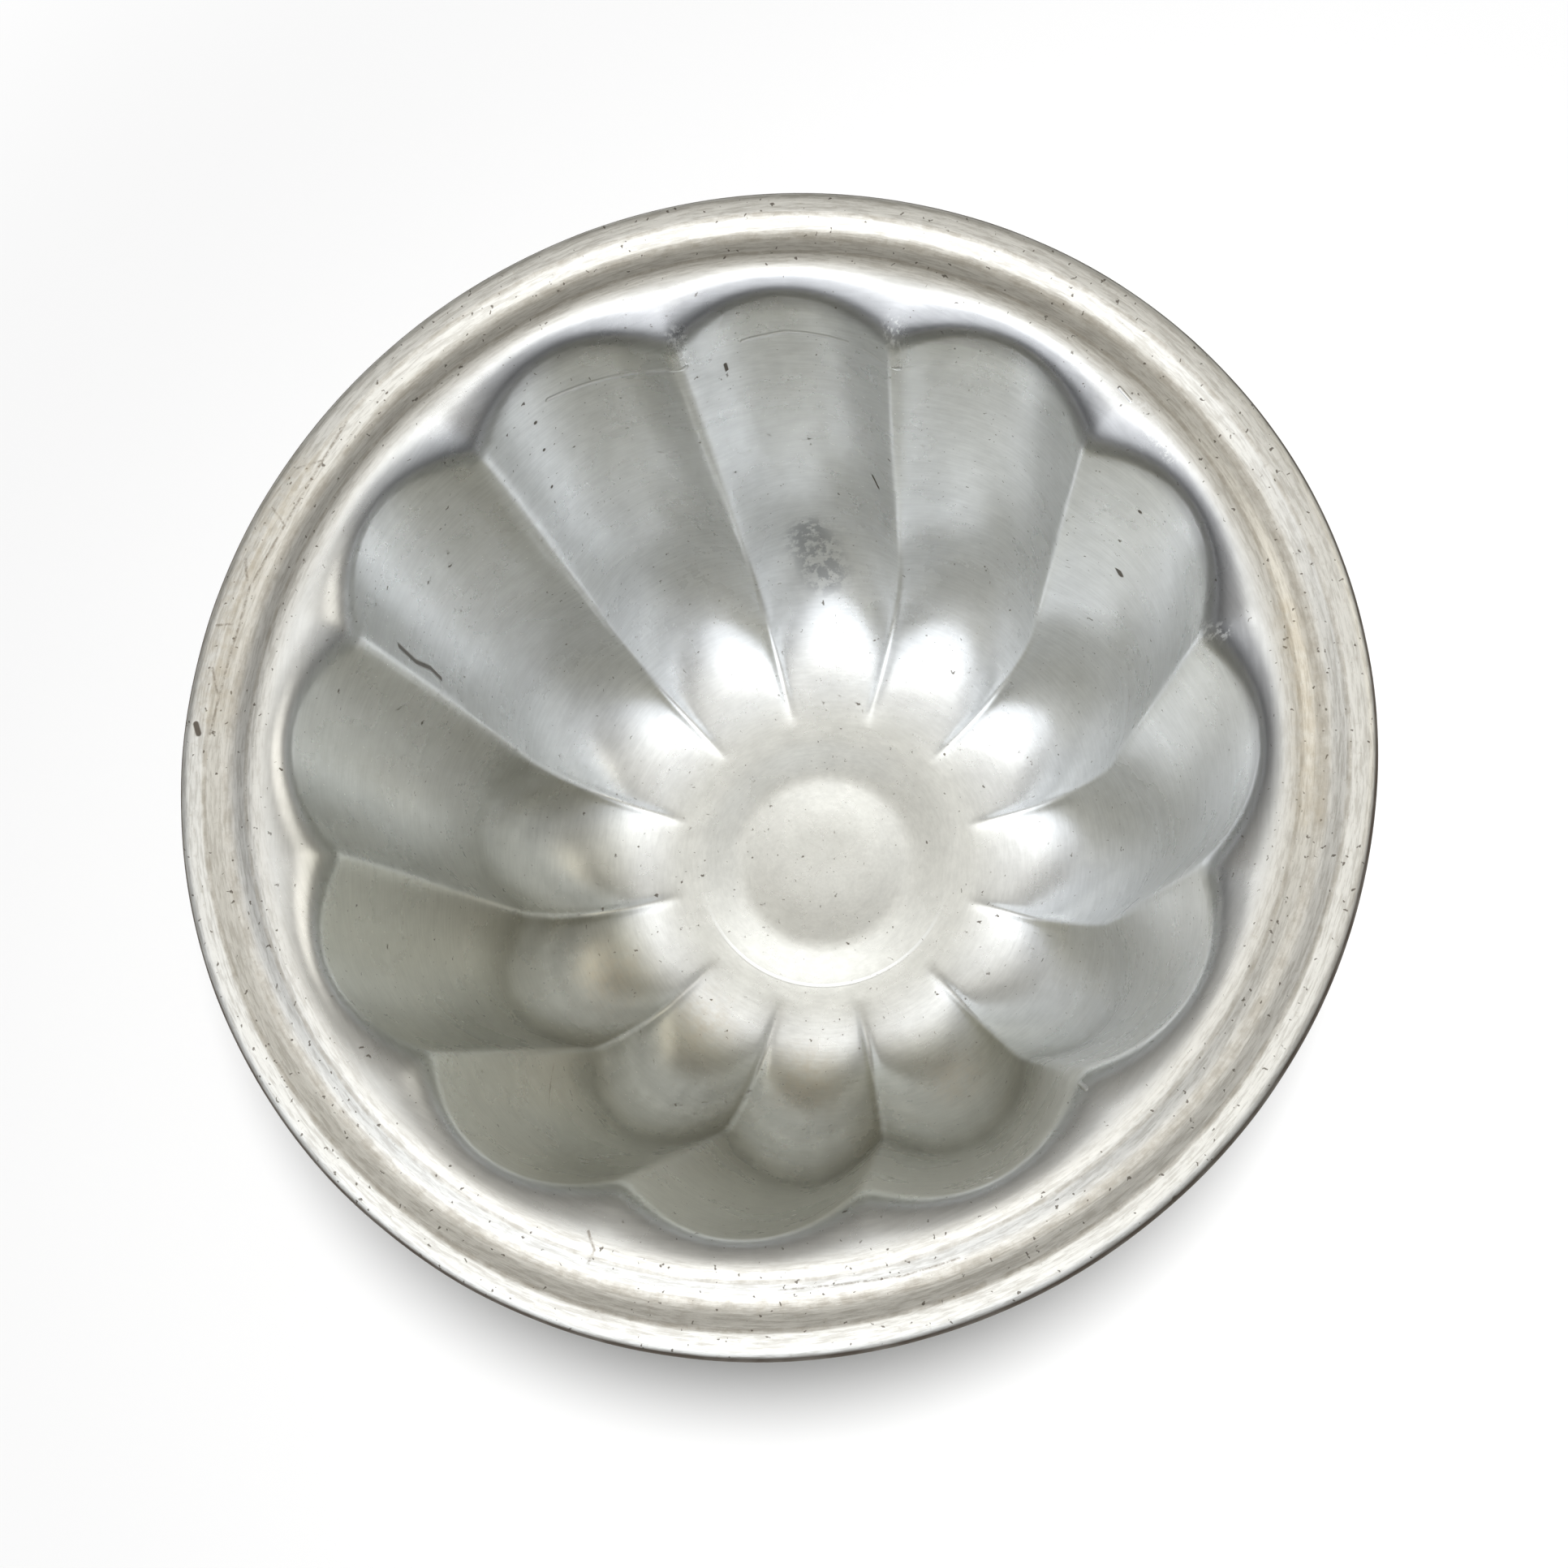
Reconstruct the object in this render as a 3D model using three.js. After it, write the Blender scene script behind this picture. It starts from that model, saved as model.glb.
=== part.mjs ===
// A pressed aluminium pudding mould with a fluted wall and a wired rim, standing with the mouth up.
// Millimetres, +Z up, origin at the centre of the underside of the floor, +X through the middle of a flute.
import * as THREE from 'three';
import { ParametricGeometry } from 'three/addons/geometries/ParametricGeometry.js';

// Overall sizes
const RIM_DIAMETER = 180; // over the rolled edge
const HEIGHT = 89; // underside of the floor to the top of the flange
const SHEET = 0.7; // thickness of the pressed aluminium

// Floor: a flat ring that the mould stands on, and inside it a raised lip round a shallow dish
const DISH_FLAT_DIAMETER = 16;
const DISH_FLAT_BEND = 80;
const DISH_DEPTH = 0.75; // middle of the dish under its lip
const LIP_DIAMETER = 32.6;
const LIP_RISE = 0.8; // lip of the dish over the standing ring
const LIP_BEND = 4;
const STAND_DIAMETER = 47; // inner edge of the standing ring
const PLAIN_FLOOR_DIAMETER = 54; // the ridges run out at the edge of this plain centre
const RIDGE_RISE = 1.5; // height of a ridge over the floor, under the wall

// Fluted wall
const FLUTE_COUNT = 12;
const WALL_DRAFT = THREE.MathUtils.degToRad(11.2);
const FLUTE_FOOT_DEPTH = 6;
const FLUTE_TOP_DEPTH = 4.9;
const RIDGE_FOOT_BEND = 23;
const FLUTE_FOOT_BEND = 26;
const RIDGE_SHOULDER_BEND = 10;
const FLUTE_SHOULDER_BEND = 3.2;

// Rim, with widths measured inwards from the outer edge
const CURL_DIAMETER = 3.5;
const CURL_TURN = THREE.MathUtils.degToRad(270);
const WIRE_CLEARANCE = 0.3;
const FLANGE_WIDTH = 4;
const GROOVE_WIDTH = 7.4;
const GROOVE_DEPTH = 1; // bottom of the groove under the flange
const GROOVE_BEND = 5;
const GROOVE_OUTER_BEND = 3;
const SHELF_BEND = 6;
const SHELF_DROP = 0.3; // fall of the shelf from the groove to the mouth
const SHELF_WIDTH = 9.8; // from the groove in to where the ridges meet the shelf

// Facets
const STEPS_PER_FLUTE = 8;
const WIRE_SIDES = 8;
const BEND_STEPS = {
  dishFlat: 2, lip: 2, wallFoot: 5, shoulder: 4, shelf: 1, groove: 2, grooveOuter: 1, curl: 6,
};

const rimRadius = RIM_DIAMETER / 2;
const curlRadius = CURL_DIAMETER / 2;
const curlCentreRadius = rimRadius - curlRadius;
const floorLevel = SHEET;
const flangeLevel = HEIGHT;
const curlLevel = flangeLevel - curlRadius;
const aroundSteps = FLUTE_COUNT * STEPS_PER_FLUTE;

const point = (r, z) => new THREE.Vector2(r, z);
const mix = THREE.MathUtils.lerp;

// Points of the arc that rounds corner b of the bent line a, b, c. A bend stays within its two sides.
function bend(a, b, c, radius, steps) {
  const back = a.clone().sub(b);
  const on = c.clone().sub(b);
  const mostReach = 0.95 * Math.min(back.length(), on.length());
  back.normalize();
  on.normalize();
  const half = Math.acos(back.dot(on)) / 2;
  const reach = Math.min(radius / Math.tan(half), mostReach);
  const start = b.clone().addScaledVector(back, reach);
  const centre = b.clone().addScaledVector(back.clone().add(on).normalize(), reach / Math.cos(half));
  const turn = (2 * half - Math.PI) * Math.sign(back.cross(on));
  return Array.from({ length: steps + 1 }, (_, i) => start.clone().rotateAround(centre, (turn * i) / steps));
}

// Depth under the flange of the corner whose bend leaves the groove GROOVE_DEPTH deep.
function grooveCornerDepth() {
  const halfWidth = GROOVE_WIDTH / 2;
  const across = 2 * GROOVE_BEND - GROOVE_DEPTH;
  const halfSlope = (halfWidth - Math.sqrt(halfWidth * halfWidth - GROOVE_DEPTH * across)) / across;
  return halfWidth * Math.tan(2 * Math.atan(halfSlope));
}

// Upper face of the sheet in one upright half plane, from the axis out to the end of the rolled edge.
// The share of the flute depth is 1 in the middle of a flute and 0 on a ridge.
function section(share) {
  const grooveOuterRadius = rimRadius - FLANGE_WIDTH;
  const grooveInnerRadius = grooveOuterRadius - GROOVE_WIDTH;
  const ridgeTop = grooveInnerRadius - SHELF_WIDTH;
  const shoulderLevel = flangeLevel - SHELF_DROP;
  const ridgeFoot = ridgeTop - (shoulderLevel - floorLevel) * Math.tan(WALL_DRAFT);

  const lipLevel = floorLevel + LIP_RISE;
  const axis = point(0, lipLevel - DISH_DEPTH);
  const dishFlat = point(DISH_FLAT_DIAMETER / 2, lipLevel - DISH_DEPTH);
  const lip = point(LIP_DIAMETER / 2, lipLevel);
  const stand = point(STAND_DIAMETER / 2, floorLevel);
  const plainEdge = point(PLAIN_FLOOR_DIAMETER / 2, floorLevel);
  const wallFoot = point(ridgeFoot + FLUTE_FOOT_DEPTH * share, floorLevel + RIDGE_RISE * (1 - share));
  const shoulder = point(ridgeTop + FLUTE_TOP_DEPTH * share, shoulderLevel);
  const footBend = mix(RIDGE_FOOT_BEND, FLUTE_FOOT_BEND, share);
  const shoulderBend = mix(RIDGE_SHOULDER_BEND, FLUTE_SHOULDER_BEND, share);
  const shelf = point(grooveInnerRadius, flangeLevel);
  const groove = point((grooveInnerRadius + grooveOuterRadius) / 2, flangeLevel - grooveCornerDepth());
  const grooveOuter = point(grooveOuterRadius, flangeLevel);
  const curlStart = point(curlCentreRadius, flangeLevel);
  const curlCentre = point(curlCentreRadius, curlLevel);
  const curl = Array.from({ length: BEND_STEPS.curl + 1 }, (_, i) =>
    curlStart.clone().rotateAround(curlCentre, (-CURL_TURN * i) / BEND_STEPS.curl));

  return [
    axis,
    ...bend(axis, dishFlat, lip, DISH_FLAT_BEND, BEND_STEPS.dishFlat),
    ...bend(dishFlat, lip, stand, LIP_BEND, BEND_STEPS.lip),
    stand,
    plainEdge,
    ...bend(plainEdge, wallFoot, shoulder, footBend, BEND_STEPS.wallFoot),
    ...bend(wallFoot, shoulder, shelf, shoulderBend, BEND_STEPS.shoulder),
    ...bend(shoulder, shelf, groove, SHELF_BEND, BEND_STEPS.shelf),
    ...bend(shelf, groove, grooveOuter, GROOVE_BEND, BEND_STEPS.groove),
    ...bend(groove, grooveOuter, curlStart, GROOVE_OUTER_BEND, BEND_STEPS.grooveOuter),
    ...curl,
  ];
}

// Share of the full flute depth at one step across a flute that starts in the middle of a flute.
function fluteShare(step) {
  const half = STEPS_PER_FLUTE / 2;
  const across = step <= half ? step / half : (STEPS_PER_FLUTE - step) / half;
  return 1 - across * across;
}

// The pressed sheet: the section swept round the axis, in and out with the flutes, and thickened downwards.
function mouldShell() {
  const sections = Array.from({ length: STEPS_PER_FLUTE }, (_, step) => section(fluteShare(step)));
  const last = sections[0].length - 1;
  const stacks = 2 * last + 1;

  const upper = (step, along) => {
    const p = sections[(step + aroundSteps) % STEPS_PER_FLUTE][along];
    const azimuth = (2 * Math.PI * step) / aroundSteps;
    return new THREE.Vector3(p.x * Math.cos(azimuth), p.x * Math.sin(azimuth), p.y);
  };
  const under = (step, along) => {
    const here = upper(step, along);
    if (along === 0) return here.setZ(here.z - SHEET);
    const round = upper(step + 1, along).sub(upper(step - 1, along));
    const outwards = upper(step, Math.min(along + 1, last)).sub(upper(step, along - 1));
    return here.addScaledVector(outwards.cross(round).normalize(), -SHEET);
  };
  const place = (u, v, target) => {
    const step = Math.round(u * aroundSteps) % aroundSteps;
    const along = Math.round(v * stacks);
    target.copy(along <= last ? under(step, along) : upper(step, stacks - along));
  };
  return new ParametricGeometry(place, aroundSteps, stacks);
}

// The wire ring that the rolled edge is closed round.
function rimWire() {
  const wireRadius = curlRadius - SHEET - WIRE_CLEARANCE;
  return new THREE.TorusGeometry(curlCentreRadius, wireRadius, WIRE_SIDES, aroundSteps);
}

const aluminium = new THREE.MeshStandardMaterial({ color: 0xc9c8c2, roughness: 0.36, metalness: 1 });
const steel = new THREE.MeshStandardMaterial({ color: 0x8c8b88, roughness: 0.45, metalness: 1 });

const shell = new THREE.Mesh(mouldShell(), aluminium);
shell.name = 'mould_shell';

const wire = new THREE.Mesh(rimWire(), steel);
wire.name = 'rim_wire';
wire.position.z = curlLevel;

const mould = new THREE.Group();
mould.add(shell, wire);

export default mould;
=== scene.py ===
"""The looks of a pressed aluminium pudding mould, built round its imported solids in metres."""

import logging
import math
from collections.abc import Iterable
from dataclasses import dataclass
from enum import Enum
from functools import reduce
from itertools import chain

import bpy
import numpy as np
from bpy.types import ID, Material, Mesh, Node, NodeSocket, NodeTree, Object
from mathutils import Matrix, Vector


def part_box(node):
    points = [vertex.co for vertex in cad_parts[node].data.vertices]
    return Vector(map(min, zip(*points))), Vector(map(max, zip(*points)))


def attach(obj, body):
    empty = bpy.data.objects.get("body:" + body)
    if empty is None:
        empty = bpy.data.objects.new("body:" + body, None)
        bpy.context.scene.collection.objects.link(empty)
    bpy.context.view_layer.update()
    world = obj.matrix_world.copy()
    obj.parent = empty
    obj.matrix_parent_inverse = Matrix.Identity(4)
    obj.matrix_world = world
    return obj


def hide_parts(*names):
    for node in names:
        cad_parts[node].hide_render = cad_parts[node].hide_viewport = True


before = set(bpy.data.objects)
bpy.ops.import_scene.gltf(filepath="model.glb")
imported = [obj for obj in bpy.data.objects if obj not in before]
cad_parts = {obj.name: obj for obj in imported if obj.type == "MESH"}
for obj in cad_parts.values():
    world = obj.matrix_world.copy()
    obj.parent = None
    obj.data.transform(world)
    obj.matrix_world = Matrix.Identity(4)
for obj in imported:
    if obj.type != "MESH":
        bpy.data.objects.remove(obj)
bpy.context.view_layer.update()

LOG = logging.getLogger("pudding_mould")
MM_PER_M = 1000.0

Colour = tuple[float, float, float, float]
Span = tuple[float, float]
Wire = NodeSocket


@dataclass
class NodeBench:
    """Adds nodes to one tree and joins them, for shader and geometry trees alike."""

    tree: NodeTree

    def add(self, kind: str, inputs: dict | None = None, **settings: object) -> Node:
        """Adds one node.

        Args:
            kind: Blender's name for the node.
            inputs: values or wires by the input's name or number.
            settings: attributes of the node.

        Returns:
            The new node.
        """
        node = self.tree.nodes.new(kind)
        for key, value in settings.items():
            setattr(node, key, value)
        for key, value in (inputs or {}).items():
            if isinstance(value, Wire):
                self.tree.links.new(value, node.inputs[key])
            else:
                node.inputs[key].default_value = value
        return node

    def out(self, kind: str, inputs: dict | None = None, **settings: object) -> Wire:
        """Adds one node as add() does and returns its first output."""
        return self.add(kind, inputs, **settings).outputs[0]

    def math(self, operation: str, a: object, b: object = 0.0) -> Wire:
        """Returns the wire of a math node on one or two values."""
        return self.out("ShaderNodeMath", {0: a, 1: b}, operation=operation)

    def fold(self, operation: str, values: Iterable[object]) -> Wire:
        """Returns the wire of values that one math operation joins from left to right."""
        return reduce(lambda a, b: self.math(operation, a, b), values)

    def product(self, *values: object) -> Wire:
        """Returns the wire of values multiplied together."""
        return self.fold("MULTIPLY", values)

    def vector(self, operation: str, a: object, b: object = (0.0, 0.0, 0.0)) -> Wire:
        """Returns the wire of a vector math node that gives a vector."""
        return self.add("ShaderNodeVectorMath", {0: a, 1: b}, operation=operation).outputs["Vector"]

    def measure(self, operation: str, a: object, b: object = (0.0, 0.0, 0.0)) -> Wire:
        """Returns the wire of a vector math node that gives one value."""
        return self.add("ShaderNodeVectorMath", {0: a, 1: b}, operation=operation).outputs["Value"]

    def scaled(self, a: object, factor: object) -> Wire:
        """Returns the wire of a vector times a value."""
        return self.out("ShaderNodeVectorMath", {0: a, "Scale": factor}, operation="SCALE")

    def combine(self, x: object, y: object, z: object) -> Wire:
        """Returns the wire of a vector made of three values."""
        return self.out("ShaderNodeCombineXYZ", {0: x, 1: y, 2: z})

    def ramp(self, value: object, low: float, high: float, bottom: object = 0.0, top: object = 1.0) -> Wire:
        """Returns a wire that goes softly from bottom to top as value goes from low to high."""
        inputs = {"Value": value, "From Min": low, "From Max": high, "To Min": bottom, "To Max": top}
        return self.out("ShaderNodeMapRange", inputs, interpolation_type="SMOOTHSTEP")

    def mix(self, share: object, a: object, b: object) -> Wire:
        """Returns the wire of a colour that goes from a to b as share goes from 0 to 1."""
        return self.add("ShaderNodeMix", {0: share, 6: a, 7: b}, data_type="RGBA").outputs[2]

    def blend(self, share: object, a: object, b: object) -> Wire:
        """Returns the wire of a value that goes from a to b as share goes from 0 to 1."""
        return self.out("ShaderNodeMix", {0: share, 2: a, 3: b}, data_type="FLOAT")


@dataclass(frozen=True)
class Grain:
    """A noise pattern, with its scale in cells per millimetre."""

    scale: float
    detail: float = 3.0
    roughness: float = 0.6


class ShaderBench(NodeBench):
    """A node bench for one material, with the patterns that the finishes share."""

    def __init__(self, name: str) -> None:
        """Makes an empty node material of that name."""
        self.material = bpy.data.materials.new(name)
        self.material.use_nodes = True
        super().__init__(self.material.node_tree)
        self.tree.nodes.clear()

    def millimetres(self) -> Wire:
        """Returns the wire of the Object coordinates in millimetres."""
        return self.scaled(self.add("ShaderNodeTexCoord").outputs["Object"], MM_PER_M)

    def noise(self, place: Wire, grain: Grain) -> Wire:
        """Returns the wire of a noise between about 0.2 and 0.8."""
        inputs = {"Scale": grain.scale, "Detail": grain.detail, "Roughness": grain.roughness}
        return self.add("ShaderNodeTexNoise", {"Vector": place, **inputs}).outputs["Fac"]

    def drift(self, place: Wire, scale: float, swing: float) -> Wire:
        """Returns a place moved about by a noise, up to about half the swing each way."""
        noise = self.add("ShaderNodeTexNoise", {"Vector": place, "Scale": scale, "Detail": 2.0})
        away = self.vector("SUBTRACT", noise.outputs["Color"], (0.5, 0.5, 0.5))
        return self.vector("ADD", place, self.scaled(away, swing))

    def specks(self, place: Wire, cell: float, size: object, share: float) -> Wire:
        """Returns a wire that is 1 in specks.

        Args:
            place: wire of the place, in millimetres.
            cell: distance between specks in millimetres.
            size: radius of a speck in millimetres.
            share: share of the specks that is kept.

        Returns:
            The wire, 0 between the specks.
        """
        edge, core = 1.25, 0.75
        cells = self.add("ShaderNodeTexVoronoi", {"Vector": place, "Scale": 1 / cell})
        reach = self.product(cells.outputs["Distance"], cell)
        spot = self.ramp(self.math("DIVIDE", reach, size), edge, core)
        lot = self.out("ShaderNodeSeparateColor", {0: cells.outputs["Color"]})
        return self.product(spot, self.math("LESS_THAN", lot, share))

    def reach(self, place: Wire, a: Vector, b: Vector) -> Wire:
        """Returns a wire with the distance from the place to the straight line from a to b."""
        from_a = self.vector("SUBTRACT", place, tuple(a))
        line = b - a
        if line.length < 1e-6:
            return self.measure("LENGTH", from_a)
        share = self.measure("DOT_PRODUCT", from_a, tuple(line / line.length_squared))
        share = self.math("MINIMUM", self.math("MAXIMUM", share, 0.0), 1.0)
        return self.measure("DISTANCE", from_a, self.scaled(tuple(line), share))

    def finish(self, shader: Wire) -> Material:
        """Joins the shader to the output and returns the material."""
        self.add("ShaderNodeOutputMaterial", {"Surface": shader})
        return self.material


class MarkKind(Enum):
    """What a mark on the sheet is, which sets its look."""

    TOOL_LINE = "pale line left by a tool"
    CRACK = "dark line"
    SCRATCH = "faint brown line"
    PIT = "dark spot"
    WORN = "dark mottled patch"
    STAIN = "brown patch"
    # Whitish scuffs that are also painted highlights at the ridge tips.
    SCUFF_AND_HIGHLIGHT = "whitish patch"


@dataclass(frozen=True)
class Mark:
    """One mark of use on the upper face, by degrees round the axis and millimetres along the sheet."""

    half_width: float
    path: tuple[Span, ...]

    @property
    def reach(self) -> float:
        """Distance from the mark's lines to the middle of the farthest face that it can touch."""
        spread, face_size = 1.5, 2.0
        return spread * self.half_width + face_size

    def lines(self, shell: "PressedShell") -> list[tuple[Vector, Vector]]:
        """Returns the ends in millimetres of the mark's lines, each short enough to follow the sheet."""
        most_turn = 4.0
        places = [shell.spot(*self.path[0])]
        for before, after in zip(self.path, self.path[1:]):
            steps = max(1, math.ceil(abs(after[0] - before[0]) / most_turn))
            for i in range(steps):
                share = (i + 1) / steps
                places.append(shell.spot(*(between(a, b, share) for a, b in zip(before, after))))
        return list(zip(places, places[1:] or places))


MARKS = {
    MarkKind.TOOL_LINE: (
        Mark(0.4, ((93, 128), (83, 125.6), (74, 123.7))),
        Mark(0.4, ((66, 126.2), (60, 127.4), (52, 126), (44, 123.1))),
        Mark(0.25, ((16, 139.7), (14, 139.4))), Mark(0.35, ((284, 131), (284, 133))),
        Mark(0.3, ((269, 131), (269.5, 133.5))),
    ),
    MarkKind.CRACK: (Mark(0.5, ((132, 116.5), (132.5, 110), (131.8, 105), (132.2, 101))),),
    MarkKind.SCRATCH: (
        Mark(0.16, ((197, 82.6), (203, 94.2))),
        Mark(0.22, ((224, 139.2), (225.3, 141.4), (225, 143.4))),
        Mark(0.2, ((113, 150.3), (127, 149), (137, 148.3), (150, 150.6))),
        Mark(0.16, ((245, 145.1), (254, 144), (263, 145.8))),
        Mark(0.2, ((118, 150), (120, 152.5))), Mark(0.2, ((126, 149), (125, 152))),
        Mark(0.25, ((131, 151.5), (133, 149.5))), Mark(0.2, ((138, 149.5), (138.5, 152))),
        Mark(0.2, ((143, 151.5), (146, 150))),
    ),
    MarkKind.PIT: (
        Mark(0.35, ((96, 125),)), Mark(0.3, ((97, 118),)), Mark(0.3, ((99, 109),)),
        Mark(0.3, ((69, 121.3), (69, 119.5))),
        Mark(0.35, ((69, 112.7),)), Mark(0.4, ((6, 123),)),
        Mark(0.6, ((6, 102.3), (5.4, 101.6))),
        Mark(0.28, ((50, 88.2), (49, 85))),
        Mark(0.45, ((149, 153), (150, 152.4))),
        Mark(0.5, ((283, 153.7),)), Mark(0.5, ((290, 154.9),)),
    ),
    MarkKind.WORN: (Mark(5.5, ((63.5, 66), (61, 57))),),
    MarkKind.STAIN: (
        Mark(4.5, ((120, 152.5), (134, 150.4), (147, 150.5))),
        Mark(3.0, ((344, 143), (334, 145), (322, 145.3))),
        Mark(9.0, ((181, 46.3),)), Mark(8.0, ((205, 38),)),
        Mark(8.0, ((237, 41),)), Mark(7.0, ((273, 48.7),)),
    ),
    # Whitish scuffs near ridge tips below the shoulder, painted pale as highlights there too.
    MarkKind.SCUFF_AND_HIGHLIGHT: (
        Mark(2.2, ((74, 131), (74, 124.5))), Mark(2.2, ((45, 132), (44.5, 125.5))),
        Mark(1.6, ((13, 140), (6, 139.6))), Mark(2.0, ((344, 133), (346, 127))),
    ),
}


class Zone(Enum):
    """Soft-edged zones of the sheet: for each edge a measure, and its value outside and inside the edge."""

    FLOOR = (("radius", 36.0, 26.0),)
    FLUTE_FOOT = (("radius", 25.0, 33.0), ("height", 24.0, 8.0))
    HAZY_FOOT = (("height", 3.5, 9.0), ("height", 34.0, 16.0))
    HOLLOW = (("radius", 39.0, 47.0), ("radius", 66.0, 56.0))
    WALL = (("radius", 33.0, 43.0), ("below", 0.4, 4.5))
    MOUTH = (("below", 18.0, 8.0), ("radius", 78.0, 75.0))
    SHOULDER = (("below", 8.0, 3.5), ("below", 0.2, 0.9), ("radius", 77.0, 75.0))
    RIM = (("radius", 75.0, 78.5), ("below", 7.0, 3.0))
    HAZY_RIM = (("radius", 76.0, 80.0),)
    FLANGE = (("radius", 84.6, 86.2),)
    OUTER_EDGE = (("radius", 87.8, 88.8), ("below", 0.3, 0.65), ("below", 2.7, 2.2))


@dataclass(frozen=True)
class SheetPlace:
    """Wires that say where on the sheet a point is, in millimetres."""

    bench: ShaderBench
    point: Wire
    along: Wire
    inside: Wire
    outward: Wire
    radius: Wire
    height: Wire
    below: Wire

    @classmethod
    def read(cls, bench: ShaderBench, top: float) -> "SheetPlace":
        """Reads the place from Object coordinates, the sheet's attributes and the height of the rim."""
        point = bench.millimetres()
        x, y, height = bench.add("ShaderNodeSeparateXYZ", {0: point}).outputs
        flat = bench.combine(x, y, 0.0)
        return cls(
            bench=bench,
            point=point,
            along=bench.add("ShaderNodeAttribute", attribute_name="along").outputs["Fac"],
            inside=bench.add("ShaderNodeAttribute", attribute_name="inside").outputs["Fac"],
            outward=bench.vector("NORMALIZE", flat),
            radius=bench.measure("LENGTH", flat),
            height=height,
            below=bench.math("SUBTRACT", top, height),
        )

    def zone(self, zone: Zone) -> Wire:
        """Returns a wire that is 1 in a zone of the sheet and 0 outside it."""
        edges = (self.bench.ramp(getattr(self, name), outer, inner) for name, outer, inner in zone.value)
        return self.bench.product(*edges)

    def facing(self, azimuth: float, low: float, high: float) -> Wire:
        """Returns a wire that rises from 0 to 1 towards one side of the mould, by the cosine from it."""
        side = (math.cos(azimuth), math.sin(azimuth), 0.0)
        return self.bench.ramp(self.bench.measure("DOT_PRODUCT", self.outward, side), low, high)

    def band(self, middle: float, half_width: float) -> Wire:
        """Returns a wire that is 1 on a thin ring of that radius round the axis, with soft edges."""
        edge, core = 1.4, 0.4
        off = self.bench.math("ABSOLUTE", self.bench.math("SUBTRACT", self.radius, middle))
        return self.bench.ramp(off, half_width * edge, half_width * core)


@dataclass(frozen=True)
class Layer:
    """What a layer changes: colour, roughness and height in millimetres. None keeps what is under it."""

    colour: Colour | None = None
    roughness: float | None = None
    rise: float = 0.0


@dataclass
class Coat:
    """Colour, roughness and relief in millimetres of a finish, laid on one layer over the other."""

    bench: ShaderBench
    colour: Wire
    roughness: Wire
    relief: Wire

    def lay(self, layer: Layer, *shares: object) -> None:
        """Lays one more layer on, as far as the product of its shares from 0 to 1 lets it show."""
        share = self.bench.product(*shares)
        if layer.colour is not None:
            self.colour = self.bench.mix(share, self.colour, layer.colour)
        if layer.roughness is not None:
            self.roughness = self.bench.blend(share, self.roughness, layer.roughness)
        if layer.rise:
            self.relief = self.bench.math("ADD", self.relief, self.bench.product(share, layer.rise))

    def shade(self, factor: Wire) -> None:
        """Makes the colour lighter or darker by a factor."""
        self.colour = self.bench.scaled(self.colour, factor)

    def metal(self, haze: Wire, haze_roughness: float) -> Material:
        """Finishes the coat as a metal with a hazy bloom.

        Args:
            haze: wire of the share of the light that the bloom scatters widely.
            haze_roughness: roughness of the bloom.

        Returns:
            The material.
        """
        relief = {"Strength": 1.0, "Distance": 1 / MM_PER_M, "Height": self.relief}
        bump = self.bench.out("ShaderNodeBump", relief)
        ground = {"Base Color": self.colour, "Normal": bump, "Metallic": 1.0}
        sharp, hazy = (
            self.bench.out("ShaderNodeBsdfPrincipled", {**ground, "Roughness": roughness})
            for roughness in (self.roughness, haze_roughness)
        )
        return self.bench.finish(self.bench.out("ShaderNodeMixShader", {0: haze, 1: sharp, 2: hazy}))


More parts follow.
